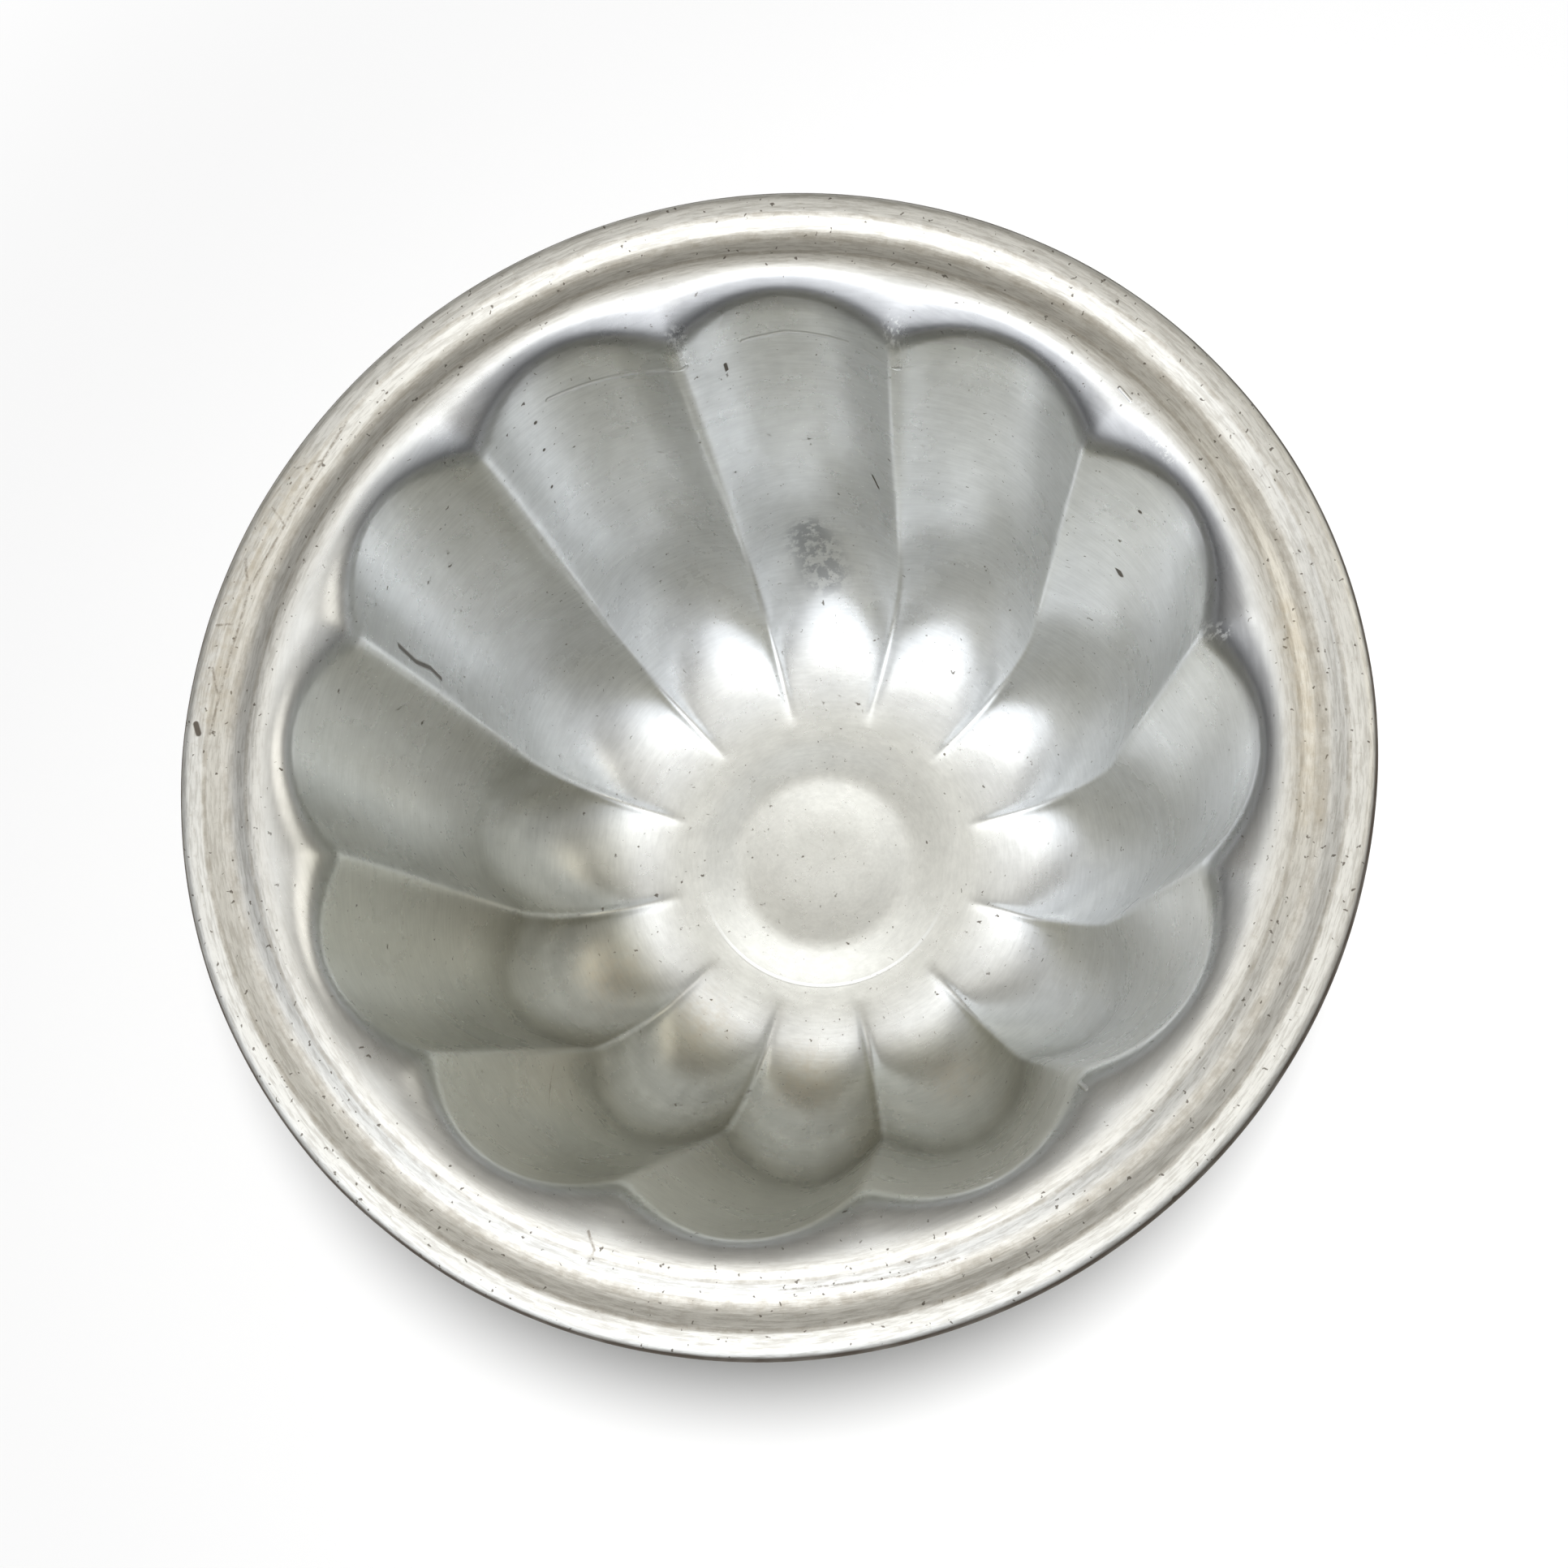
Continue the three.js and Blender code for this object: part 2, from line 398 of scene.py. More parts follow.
@dataclass(frozen=True)
class WornAluminium:
    """Satin aluminium sheet that long kitchen use has dulled, pitted and stained."""

    bright: Colour = (0.925, 0.935, 0.94, 1.0)
    dull: Colour = (0.90, 0.91, 0.91, 1.0)
    dark: Colour = (0.16, 0.135, 0.11, 1.0)
    pale: Colour = (1.0, 1.0, 0.99, 1.0)
    dirt: Colour = (0.57, 0.53, 0.465, 1.0)
    sheen: Span = (0.25, 0.31)

    outside: Layer = Layer(dull)
    # Painted shade: the walls on the near side are laid darker and olive.
    near_wall_shade: Layer = Layer((0.60, 0.60, 0.53, 1.0))
    # Painted shade in the hollow of the flutes on the near side.
    near_hollow_shade: Layer = Layer((0.47, 0.46, 0.40, 1.0))
    # Painted shade: a darker band under the shoulder on the far side.
    shoulder: Layer = Layer((0.60, 0.60, 0.61, 1.0))
    floor: Layer = Layer((0.775, 0.775, 0.745, 1.0))
    spun_arc: Layer = Layer(rise=0.012)
    floor_ring: Layer = Layer(dull, rise=-0.02)
    oxide: Layer = Layer((0.90, 0.885, 0.845, 1.0), 0.33)
    dust: Layer = Layer((0.97, 0.96, 0.925, 1.0), 0.45)
    dirty_ring: Layer = Layer(dirt, 0.42)
    grime: Layer = Layer(dirt)
    turning: Layer = Layer(rise=0.035)
    edge: Layer = Layer((0.17, 0.14, 0.115, 1.0), 0.55)
    speck: Layer = Layer(dark, 0.5)
    stain: Layer = Layer((0.60, 0.52, 0.39, 1.0), 0.36)
    worn: Layer = Layer((0.50, 0.51, 0.53, 1.0), 0.42)
    # Whitish scuffs, painted pale as highlights at the ridge tips.
    scuff_and_highlight: Layer = Layer(pale, 0.5)
    tool_line: Layer = Layer(pale, 0.4, 0.12)
    scratch: Layer = Layer((0.30, 0.25, 0.20, 1.0), 0.45, -0.01)
    crack: Layer = Layer(dark, 0.5, -0.04)
    pit: Layer = Layer(dark, 0.5, -0.03)

    clouds: Grain = Grain(0.06, 5.0)
    blotches: Grain = Grain(0.32, 4.0)
    grains: Grain = Grain(2.2)
    streaks: Grain = Grain(1.0, 4.0, 0.65)
    arcs: Grain = Grain(1.6, 2.0)
    dirt_patches: Grain = Grain(0.35, 5.0, 0.7)
    rings: Grain = Grain(2.4, 3.0, 0.7)
    flecks: Grain = Grain(0.7, 6.0, 0.75)
    edge_patches: Grain = Grain(0.2, 3.0, 0.55)
    mottle: Grain = Grain(0.55, 5.0, 0.65)
    scratches: Grain = Grain(1.3, 4.0, 0.7)
    blotch_relief: float = 0.03
    grain_relief: float = 0.0022
    streak_relief: float = 0.004
    streaks_round: float = 11.0
    streaks_along: float = 1.7
    rings_round: float = 9.0

    near_side: float = math.radians(215)
    far_side: float = near_side + math.pi
    outside_dulling: float = 0.7
    # How strongly the painted shade in the near flutes' hollow shows.
    near_hollow_shade_share: float = 0.85
    ring_line: float = 23.6
    ring_half_width: float = 0.3
    ring_side: float = math.radians(240)
    dirty_rings: tuple[Span, ...] = ((82.4, 0.9), (85.8, 0.4), (79.2, 0.35))
    haze: float = 0.38
    foot_haze: float = 0.85
    mouth_haze: float = 0.2
    rim_haze: float = 0.42
    haze_roughness: float = 0.5

    def ground(self, place: SheetPlace) -> Coat:
        """Builds the bare sheet: dull and bright clouds, fine brushing, and painted shade on the near walls,
        in the near flutes' hollow and under the far shoulder.

        Args:
            place: where on the sheet a point is.

        Returns:
            The ground coat.
        """
        bench = place.bench
        cloud, blotch, grain = (
            bench.noise(place.point, pattern) for pattern in (self.clouds, self.blotches, self.grains)
        )
        lengthways = bench.combine(0.0, 0.0, bench.product(place.along, self.streaks_along))
        brushed = bench.vector("ADD", bench.scaled(place.outward, self.streaks_round), lengthways)
        streak = bench.noise(brushed, self.streaks)
        reliefs = ((blotch, self.blotch_relief), (grain, self.grain_relief), (streak, self.streak_relief))
        coat = Coat(
            bench,
            colour=bench.mix(bench.ramp(cloud, 0.35, 0.7), self.bright, self.dull),
            roughness=bench.ramp(cloud, 0.3, 0.7, *self.sheen),
            relief=bench.fold("ADD", [bench.product(*relief) for relief in reliefs]),
        )
        near = place.facing(self.near_side, -0.1, 0.8)
        far = place.facing(self.far_side, -0.1, 0.6)
        coat.lay(self.outside, bench.ramp(place.inside, 0.0, 1.0, self.outside_dulling, 0.0))
        # Painted shade: the walls on the near side are laid darker and olive.
        coat.lay(self.near_wall_shade, place.zone(Zone.WALL), near)
        # Painted shade in the hollow of the flutes on the near side.
        coat.lay(self.near_hollow_shade, place.zone(Zone.HOLLOW), near, self.near_hollow_shade_share)
        # Painted shade: a darker band under the shoulder on the far side.
        coat.lay(self.shoulder, place.zone(Zone.SHOULDER), far)
        coat.lay(self.floor, place.zone(Zone.FLOOR))
        coat.shade(bench.ramp(blotch, 0.25, 0.75, 0.95, 1.03))
        coat.shade(bench.ramp(streak, 0.3, 0.7, 0.94, 1.03))
        return coat

    def pressed(self, place: SheetPlace, coat: Coat) -> None:
        """Lays on the arcs at the flutes' feet, the ring on the floor, and the rim with its dirt and specks.

        Args:
            place: where on the sheet a point is.
            coat: the coat that they are laid on.
        """
        bench = place.bench
        radial = bench.combine(0.0, 0.0, place.radius)
        coat.lay(self.spun_arc, place.zone(Zone.FLUTE_FOOT), bench.noise(radial, self.arcs))
        ring = place.band(self.ring_line, self.ring_half_width)
        coat.lay(self.floor_ring, ring, place.facing(self.ring_side, 0.2, 0.9))

        rim = place.zone(Zone.RIM)
        coat.lay(self.oxide, rim)
        coat.lay(self.dust, rim, place.zone(Zone.FLANGE))
        dirt = bench.ramp(bench.noise(place.point, self.dirt_patches), 0.35, 0.65, 0.25, 0.75)
        for middle, half_width in self.dirty_rings:
            coat.lay(self.dirty_ring, place.band(middle, half_width), dirt)
        swept = bench.vector("ADD", bench.scaled(place.outward, self.rings_round), radial)
        rings = bench.noise(swept, self.rings)
        coat.lay(self.turning, rim, rings)
        coat.shade(bench.blend(rim, 1.0, bench.ramp(rings, 0.38, 0.62, 0.86, 1.0)))
        coat.lay(self.grime, rim, bench.ramp(rings, 0.52, 0.36, 0.0, 0.32))
        flecks = bench.ramp(bench.noise(place.point, self.flecks), 0.56, 0.72, 0.0, 0.4)
        coat.lay(self.grime, rim, flecks)
        patches = bench.ramp(bench.noise(place.point, self.edge_patches), 0.3, 0.6, 0.85, 1.0)
        coat.lay(self.edge, place.zone(Zone.OUTER_EDGE), patches)

        drifted = bench.drift(place.point, scale=0.8, swing=2.2)
        fine = bench.specks(drifted, cell=1.7, size=bench.ramp(rim, 0.0, 1.0, 0.15, 0.21), share=0.85)
        fine = bench.product(fine, bench.ramp(rim, 0.0, 1.0, 0.65, 0.85))
        coarse = bench.product(bench.specks(drifted, cell=4.6, size=0.3, share=0.5), 0.85)
        coat.lay(self.speck, bench.math("MAXIMUM", fine, coarse))

    def used(self, place: SheetPlace, coat: Coat, shell: "PressedShell") -> None:
        """Lays on the marks of use, with the scuffs also standing for painted highlights at ridge tips.

        Args:
            place: where on the sheet a point is.
            coat: the coat that they are laid on.
            shell: the sheet, which places the marks.
        """
        bench = place.bench
        mottle = bench.noise(place.point, self.mottle)
        scratchy = bench.noise(bench.vector("MULTIPLY", place.point, (1.0, 1.0, 0.35)), self.scratches)
        # For each kind its layer, its edge and core in half widths, and how strongly it shows
        looks = {
            MarkKind.STAIN: (self.stain, 1.3, 0.1, bench.ramp(mottle, 0.3, 0.7, 0.08, 0.4)),
            MarkKind.WORN: (self.worn, 1.2, 0.3, bench.ramp(mottle, 0.42, 0.56, 0.0, 0.85)),
            # The scuffs are painted pale as highlights at the ridge tips.
            MarkKind.SCUFF_AND_HIGHLIGHT: (self.scuff_and_highlight, 1.2, 0.25, bench.ramp(scratchy, 0.48, 0.6, 0.0, 0.9)),
            MarkKind.TOOL_LINE: (self.tool_line, 1.4, 0.3, 0.95),
            MarkKind.SCRATCH: (self.scratch, 1.6, 0.2, bench.ramp(scratchy, 0.4, 0.6, 0.15, 0.7)),
            MarkKind.CRACK: (self.crack, 1.4, 0.4, 0.85),
            MarkKind.PIT: (self.pit, 1.3, 0.7, 0.95),
        }
        for kind, (layer, edge, core, strength) in looks.items():
            away = bench.fold("MINIMUM", [
                bench.math("DIVIDE", bench.reach(place.point, a, b), mark.half_width)
                for mark in MARKS[kind]
                for a, b in mark.lines(shell)
            ])
            coat.lay(layer, bench.ramp(away, edge, core), strength)

    def material(self, shell: "PressedShell", marked: bool) -> Material:
        """Builds the material.

        Args:
            shell: the sheet that the finish is on, which places the marks.
            marked: whether the marks of use are drawn, which only the faces near them need.

        Returns:
            The material, on Object coordinates and the sheet's own attributes.
        """
        bench = ShaderBench("marked_aluminium" if marked else "worn_aluminium")
        place = SheetPlace.read(bench, shell.height * MM_PER_M)
        coat = self.ground(place)
        self.pressed(place, coat)
        if marked:
            self.used(place, coat, shell)
        far = place.facing(self.far_side, -0.5, 0.3)
        foot = bench.product(place.zone(Zone.HAZY_FOOT), place.inside, far)
        haze = bench.ramp(foot, 0.0, 1.0, self.haze, self.foot_haze)
        haze = bench.blend(bench.product(place.zone(Zone.MOUTH), far), haze, self.mouth_haze)
        haze = bench.blend(place.zone(Zone.HAZY_RIM), haze, self.rim_haze)
        return coat.metal(haze, self.haze_roughness)


@dataclass(frozen=True)
class DrawnSteel:
    """Plain drawn steel wire with a faint bloom of rust."""

    steel: Colour = (0.55, 0.545, 0.53, 1.0)
    rust: Colour = (0.28, 0.17, 0.10, 1.0)
    bloom: Grain = Grain(0.15, 6.0, 0.7)
    steel_roughness: float = 0.38
    rust_roughness: float = 0.75
    metallic: float = 0.9

    def material(self) -> Material:
        """Builds the material, on Object coordinates in millimetres."""
        bench = ShaderBench("drawn_steel")
        bloom = bench.ramp(bench.noise(bench.millimetres(), self.bloom), 0.5, 0.75)
        inputs = {
            "Base Color": bench.mix(bloom, self.steel, self.rust),
            "Roughness": bench.ramp(bloom, 0.0, 1.0, self.steel_roughness, self.rust_roughness),
            "Metallic": self.metallic,
        }
        return bench.finish(bench.out("ShaderNodeBsdfPrincipled", inputs))


def between(a: float, b: float, share: float) -> float:
    """Returns the value that lies that share of the way from a to b."""
    return a + (b - a) * share


def rounded(a: np.ndarray, b: np.ndarray, c: np.ndarray, radius: float, steps: int) -> np.ndarray:
    """Rounds corner b of the bent line a, b, c with an arc that stays within its two sides.

    Args:
        a: point before the corner.
        b: the corner.
        c: point after the corner.
        radius: radius of the arc.
        steps: straight steps along the arc.

    Returns:
        Points of the arc, one row each.
    """
    back = a - b
    on = c - b
    most_share = 0.95
    most_reach = most_share * min(np.linalg.norm(back), np.linalg.norm(on))
    back = back / np.linalg.norm(back)
    on = on / np.linalg.norm(on)
    half = math.acos(float(back @ on)) / 2
    reach = min(radius / math.tan(half), most_reach)
    middle = (back + on) / np.linalg.norm(back + on)
    centre = b + middle * reach / math.cos(half)
    turn = (2 * half - math.pi) * math.copysign(1.0, back[0] * on[1] - back[1] * on[0])
    return turned(b + back * reach, centre, turn, steps)


def turned(start: np.ndarray, centre: np.ndarray, turn: float, steps: int) -> np.ndarray:
    """Turns a point about a centre in even steps and returns every place that it passes."""
    angle = np.linspace(0.0, turn, steps + 1)
    cos, sin = np.cos(angle), np.sin(angle)
    x, y = start - centre
    return centre + np.column_stack((x * cos - y * sin, x * sin + y * cos))


def pointing(azimuth: float, elevation: float) -> Vector:
    """Returns the direction at that azimuth and elevation in degrees."""
    turn, lift = math.radians(azimuth), math.radians(elevation)
    return Vector((math.cos(lift) * math.cos(turn), math.cos(lift) * math.sin(turn), math.sin(lift)))


def link(name: str, data: ID) -> Object:
    """Makes an object of a mesh, a light or a camera and puts it in the scene at the origin."""
    piece = bpy.data.objects.new(name, data)
    bpy.context.scene.collection.objects.link(piece)
    return piece


def grow(piece: Object, tree: NodeTree, sizes: dict[str, object]) -> None:
    """Runs a geometry tree on a piece and keeps the result as its plain mesh.

    Args:
        piece: the object that the tree starts from.
        tree: the geometry tree.
        sizes: values of the tree's named inputs.
    """
    modifier = piece.modifiers.new(tree.name, "NODES")
    modifier.node_group = tree
    for item in tree.interface.items_tree:
        if item.item_type == "SOCKET" and item.in_out == "INPUT" and item.name in sizes:
            modifier[item.identifier] = sizes[item.name]
    bpy.context.view_layer.update()
    graph = bpy.context.evaluated_depsgraph_get()
    mesh = bpy.data.meshes.new_from_object(piece.evaluated_get(graph), depsgraph=graph)
    piece.modifiers.clear()
    old = piece.data
    piece.data = mesh
    mesh.name = piece.name
    bpy.data.meshes.remove(old)


def open_tree(name: str, inputs: dict[str, str]) -> tuple[NodeBench, bpy.types.bpy_prop_collection]:
    """Starts a geometry tree that takes a geometry, a material and some named inputs.

    Args:
        name: name of the tree.
        inputs: kind of each named input.

    Returns:
        The bench for the tree, and the wires of its inputs by name.
    """
    tree = bpy.data.node_groups.new(name, "GeometryNodeTree")
    for label, kind in {"Geometry": "Geometry", **inputs, "Finish": "Material"}.items():
        tree.interface.new_socket(label, in_out="INPUT", socket_type="NodeSocket" + kind)
    tree.interface.new_socket("Geometry", in_out="OUTPUT", socket_type="NodeSocketGeometry")
    bench = NodeBench(tree)
    return bench, bench.add("NodeGroupInput").outputs


def close_tree(bench: NodeBench, shape: Wire, finish: Wire) -> NodeTree:
    """Ends a geometry tree with smooth shading and a material, and returns it."""
    smooth = bench.out("GeometryNodeSetShadeSmooth", {"Geometry": shape})
    dressed = bench.out("GeometryNodeSetMaterial", {"Geometry": smooth, "Material": finish})
    bench.add("NodeGroupOutput", {0: dressed})
    return bench.tree


@dataclass(frozen=True)
class Corner:
    """A corner of the section, the steps of its bend, and the points on the straight run before it."""

    radius: float
    height: float
    bend: float = 0.0
    steps: int = 0
    run: int = 0

    @property
    def at(self) -> np.ndarray:
        """The corner's place as radius and height."""
        return np.array((self.radius, self.height))


@dataclass
class PressedShell:
    """The one pressed sheet: dish, floor, flutes, shoulder, groove, flange and rolled edge."""

    rim_radius: float
    height: float
    sheet: float = 0.0007
    dish_flat_diameter: float = 0.016
    dish_flat_bend: float = 0.080
    dish_depth: float = 0.00075
    lip_diameter: float = 0.0326
    lip_rise: float = 0.0008
    lip_bend: float = 0.016
    stand_diameter: float = 0.047
    stand_bend: float = 0.030
    plain_floor_diameter: float = 0.054
    ridge_rise: float = 0.0015
    flute_count: int = 12
    wall_draft: float = math.radians(11.2)
    flute_foot_depth: float = 0.006
    flute_top_depth: float = 0.0049
    ridge_foot_bend: float = 0.023
    flute_foot_bend: float = 0.026
    ridge_shoulder_bend: float = 0.010
    flute_shoulder_bend: float = 0.0045
    ridge_crest: float = 0.08
    crease_height: float = 0.0003
    crease_width: float = 0.0009
    crease_run: Span = (0.028, 0.062)
    crease_fade: Span = (0.006, 0.010)
    curl_diameter: float = 0.0035
    curl_turn: float = math.radians(270)
    flange_width: float = 0.004
    groove_width: float = 0.0074
    groove_depth: float = 0.001
    groove_bend: float = 0.005
    groove_outer_bend: float = 0.003
    shelf_bend: float = 0.006
    shelf_drop: float = 0.0003
    shelf_width: float = 0.0098
    unevenness: float = 0.0002
    uneven_scale: float = 45.0
    even_up_to: Span = (0.001, 0.006)
    join_distance: float = 0.00001
    steps_across: int = 32
    crowding: float = 0.6
    curl_steps: int = 18
    curl_run: int = 2

    def groove_corner_depth(self) -> float:
        """Returns the depth of the corner whose bend leaves the groove at its depth."""
        half_width = self.groove_width / 2
        across = 2 * self.groove_bend - self.groove_depth
        half_slope = (half_width - math.sqrt(half_width**2 - self.groove_depth * across)) / across
        return half_width * math.tan(2 * math.atan(half_slope))

    def section(self, share: float) -> np.ndarray:
        """Draws the upper face of the sheet in one upright half plane.

        Args:
            share: share of the flute depth, 1 in the middle of a flute and 0 on a ridge.

        Returns:
            Points from the axis out to the end of the rolled edge, as radius and height.
        """
        floor = self.sheet
        dish = floor + self.lip_rise - self.dish_depth
        flange = self.height
        outer = self.rim_radius - self.flange_width
        inner = outer - self.groove_width
        ridge_top = inner - self.shelf_width
        shoulder = flange - self.shelf_drop
        ridge_foot = ridge_top - (shoulder - floor) * math.tan(self.wall_draft)
        flute_foot = ridge_foot + self.flute_foot_depth * share
        foot_level = floor + self.ridge_rise * (1 - share)
        flute_top = ridge_top + self.flute_top_depth * share
        foot_bend = between(self.ridge_foot_bend, self.flute_foot_bend, share)
        shoulder_bend = between(self.ridge_shoulder_bend, self.flute_shoulder_bend, share)
        groove = flange - self.groove_corner_depth()
        curl_radius = self.curl_diameter / 2
        corners = (
            Corner(0.0, dish),
            Corner(self.dish_flat_diameter / 2, dish, self.dish_flat_bend, steps=8, run=2),
            Corner(self.lip_diameter / 2, floor + self.lip_rise, self.lip_bend, steps=7, run=1),
            Corner(self.stand_diameter / 2, floor, self.stand_bend, steps=5, run=1),
            Corner(self.plain_floor_diameter / 2, floor, run=2),
            Corner(flute_foot, foot_level, foot_bend, steps=18, run=7),
            Corner(flute_top, shoulder, shoulder_bend, steps=12, run=9),
            Corner(inner, flange, self.shelf_bend, steps=5, run=4),
            Corner((inner + outer) / 2, groove, self.groove_bend, steps=8, run=1),
            Corner(outer, flange, self.groove_outer_bend, steps=5, run=1),
            Corner(self.rim_radius - curl_radius, flange),
        )
        arcs = [
            (rounded(a.at, b.at, c.at, b.bend, b.steps) if b.bend else b.at[None], b.run)
            for a, b, c in zip(corners, corners[1:], corners[2:])
        ]
        curl_start = corners[-1].at
        curl = turned(curl_start, curl_start - (0.0, curl_radius), -self.curl_turn, self.curl_steps)
        line = [corners[0].at[None]]
        for points, run in (*arcs, (curl, self.curl_run)):
            line += [np.linspace(line[-1][-1], points[0], run + 2)[1:-1], points]
        return np.vstack(line)

    def flute_share(self, across: float) -> float:
        """Returns the share of the flute depth at a place from -1 to 1 across a flute, soft at the crest."""
        crest = self.ridge_crest
        off = abs(1 - abs(across))
        off = (math.hypot(off, crest) - crest) / (math.hypot(1.0, crest) - crest)
        return 1 - (1 - off) ** 2

    def crease(self, across: np.ndarray, r: np.ndarray) -> np.ndarray:
        """Returns the height of the crease along a ridge, for places across a flute and radii along them."""
        off = (1 - np.abs(across))[:, None] * r * math.pi / self.flute_count
        start, stop = self.crease_run
        fade_in, fade_out = self.crease_fade
        fade = np.clip((r - start) / fade_in, 0.0, 1.0) * np.clip((stop - r) / fade_out, 0.0, 1.0)
        return self.crease_height * fade * np.exp(-((off / self.crease_width) ** 2))

    def one_flute(self) -> Mesh:
        """Builds one flute from ridge to ridge, with the sheet's thickness.

        Returns:
            A mesh of the upper face, the under face and the cut end of the rolled edge.
        """
        even = np.linspace(-1.0, 1.0, self.steps_across + 1)
        across = self.crowding * np.sin(even * math.pi / 2) + (1 - self.crowding) * even
        gap = across[1] - across[0]
        across = np.concatenate(([-1.0 - gap], across, [1.0 + gap]))
        lines = np.array([self.section(self.flute_share(place)) for place in across])
        angle = (across * math.pi / self.flute_count)[:, None]
        r = lines[:, :, 0]
        upper = np.stack((r * np.cos(angle), r * np.sin(angle), lines[:, :, 1]), axis=2)
        normal = np.cross(np.gradient(upper, axis=1), np.gradient(upper, axis=0))
        normal[:, 0] = (0.0, 0.0, 1.0)
        normal /= np.linalg.norm(normal, axis=2, keepdims=True)
        upper = upper + normal * self.crease(across, r)[:, :, None]
        under = upper - normal * self.sheet
        skin = np.concatenate((upper[1:-1], under[1:-1, ::-1]), axis=1)
        steps = np.linalg.norm(np.diff(lines[1:-1], axis=1), axis=2)
        along = np.concatenate((np.zeros((len(steps), 1)), np.cumsum(steps, axis=1)), axis=1) * MM_PER_M
        traits = {
            "along": np.concatenate((along, along[:, ::-1]), axis=1),
            "inside": np.concatenate((np.ones_like(along), np.zeros_like(along)), axis=1),
        }
        columns, rows = skin.shape[:2]
        faces = []
        for a in range(0, (columns - 1) * rows, rows):
            b = a + rows
            faces.append((0, a + 1, b + 1))
            faces += [(a + j, a + j + 1, b + j + 1, b + j) for j in range(1, rows - 2)]
            faces.append((b - 2, rows - 1, b + rows - 2))
        mesh = bpy.data.meshes.new("one_flute")
        mesh.from_pydata(skin.reshape(-1, 3).tolist(), [], faces)
        for name, values in traits.items():
            mesh.attributes.new(name, "FLOAT", "POINT").data.foreach_set("value", values.ravel())
        mesh.update()
        return mesh

    def spot(self, azimuth: float, along: float) -> Vector:
        """Returns the place on the upper face at degrees round the axis and millimetres along the sheet."""
        turn = math.radians(azimuth)
        across = 2 * ((turn * self.flute_count / (2 * math.pi) + 0.5) % 1.0) - 1
        line = self.section(self.flute_share(across)) * MM_PER_M
        length = np.concatenate(([0.0], np.cumsum(np.linalg.norm(np.diff(line, axis=0), axis=1))))
        r, z = (float(np.interp(along, length, values)) for values in line.T)
        return Vector((r * math.cos(turn), r * math.sin(turn), z))

    def marked_faces(self, mesh: Mesh) -> np.ndarray:
        """Finds the faces that a mark of use may touch.

        Args:
            mesh: the finished sheet.

        Returns:
            For each face 1 near a mark on the upper face, and 0 elsewhere.
        """
        centres = np.array([face.center for face in mesh.polygons]) * MM_PER_M
        inside = np.array([mesh.attributes["inside"].data[face.vertices[0]].value for face in mesh.polygons])
        near = np.zeros(len(centres), dtype=bool)
        for mark in chain(*MARKS.values()):
            for a, b in np.array(mark.lines(self)):
                length = max(float((b - a) @ (b - a)), 1e-9)
                share = np.clip((centres - a) @ (b - a) / length, 0.0, 1.0)
                away = np.linalg.norm(centres - a - share[:, None] * (b - a), axis=1)
                near |= away < mark.reach
        return (near & (inside > 0.5)).astype(np.int32)

    def repeat_tree(self) -> NodeTree:
        """Builds the tree that sets flutes round the axis and works the sheet a little uneven.

        Returns:
            The geometry tree, with its sizes as named inputs.
        """
        kinds = {"Flutes": "Int", "Unevenness": "Float", "Uneven Scale": "Float", "Join Distance": "Float"}
        bench, given = open_tree("flutes_round_axis", kinds)
        step = bench.math("DIVIDE", 2 * math.pi, given["Flutes"])
        angle = bench.product(bench.out("GeometryNodeInputIndex"), step)
        ring = bench.out("GeometryNodeInstanceOnPoints", {
            "Points": bench.out("GeometryNodePoints", {"Count": given["Flutes"]}),
            "Instance": given["Geometry"],
            "Rotation": bench.combine(0.0, 0.0, angle),
        })
        real = bench.out("GeometryNodeRealizeInstances", {0: ring})
        joining = {"Geometry": real, "Distance": given["Join Distance"]}
        joined = bench.out("GeometryNodeMergeByDistance", joining)
        place = bench.out("GeometryNodeInputPosition")
        waves = {"Vector": place, "Scale": given["Uneven Scale"], "Detail": 1.0}
        wave = bench.add("ShaderNodeTexNoise", waves).outputs["Color"]
        swing = bench.vector("SUBTRACT", wave, (0.5, 0.5, 0.5))
        level = bench.add("ShaderNodeSeparateXYZ", {0: place}).outputs[2]
        amount = bench.product(given["Unevenness"], bench.ramp(level, *self.even_up_to))
        shift = {"Geometry": joined, "Offset": bench.scaled(swing, amount)}
        return close_tree(bench, bench.out("GeometryNodeSetPosition", shift), given["Finish"])

    def build(self, finish: WornAluminium) -> Object:
        """Builds the shell in that finish and lets it stand for its solid."""
        material = finish.material(self, marked=False)
        piece = link("pressed_shell", self.one_flute())
        piece.data.materials.append(material)
        grow(piece, self.repeat_tree(), {
            "Flutes": self.flute_count,
            "Unevenness": self.unevenness,
            "Uneven Scale": self.uneven_scale,
            "Join Distance": self.join_distance,
            "Finish": material,
        })
        piece.data.materials.append(finish.material(self, marked=True))
        piece.data.polygons.foreach_set("material_index", self.marked_faces(piece.data))
        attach(piece, "root")
        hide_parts("mould_shell")
        return piece


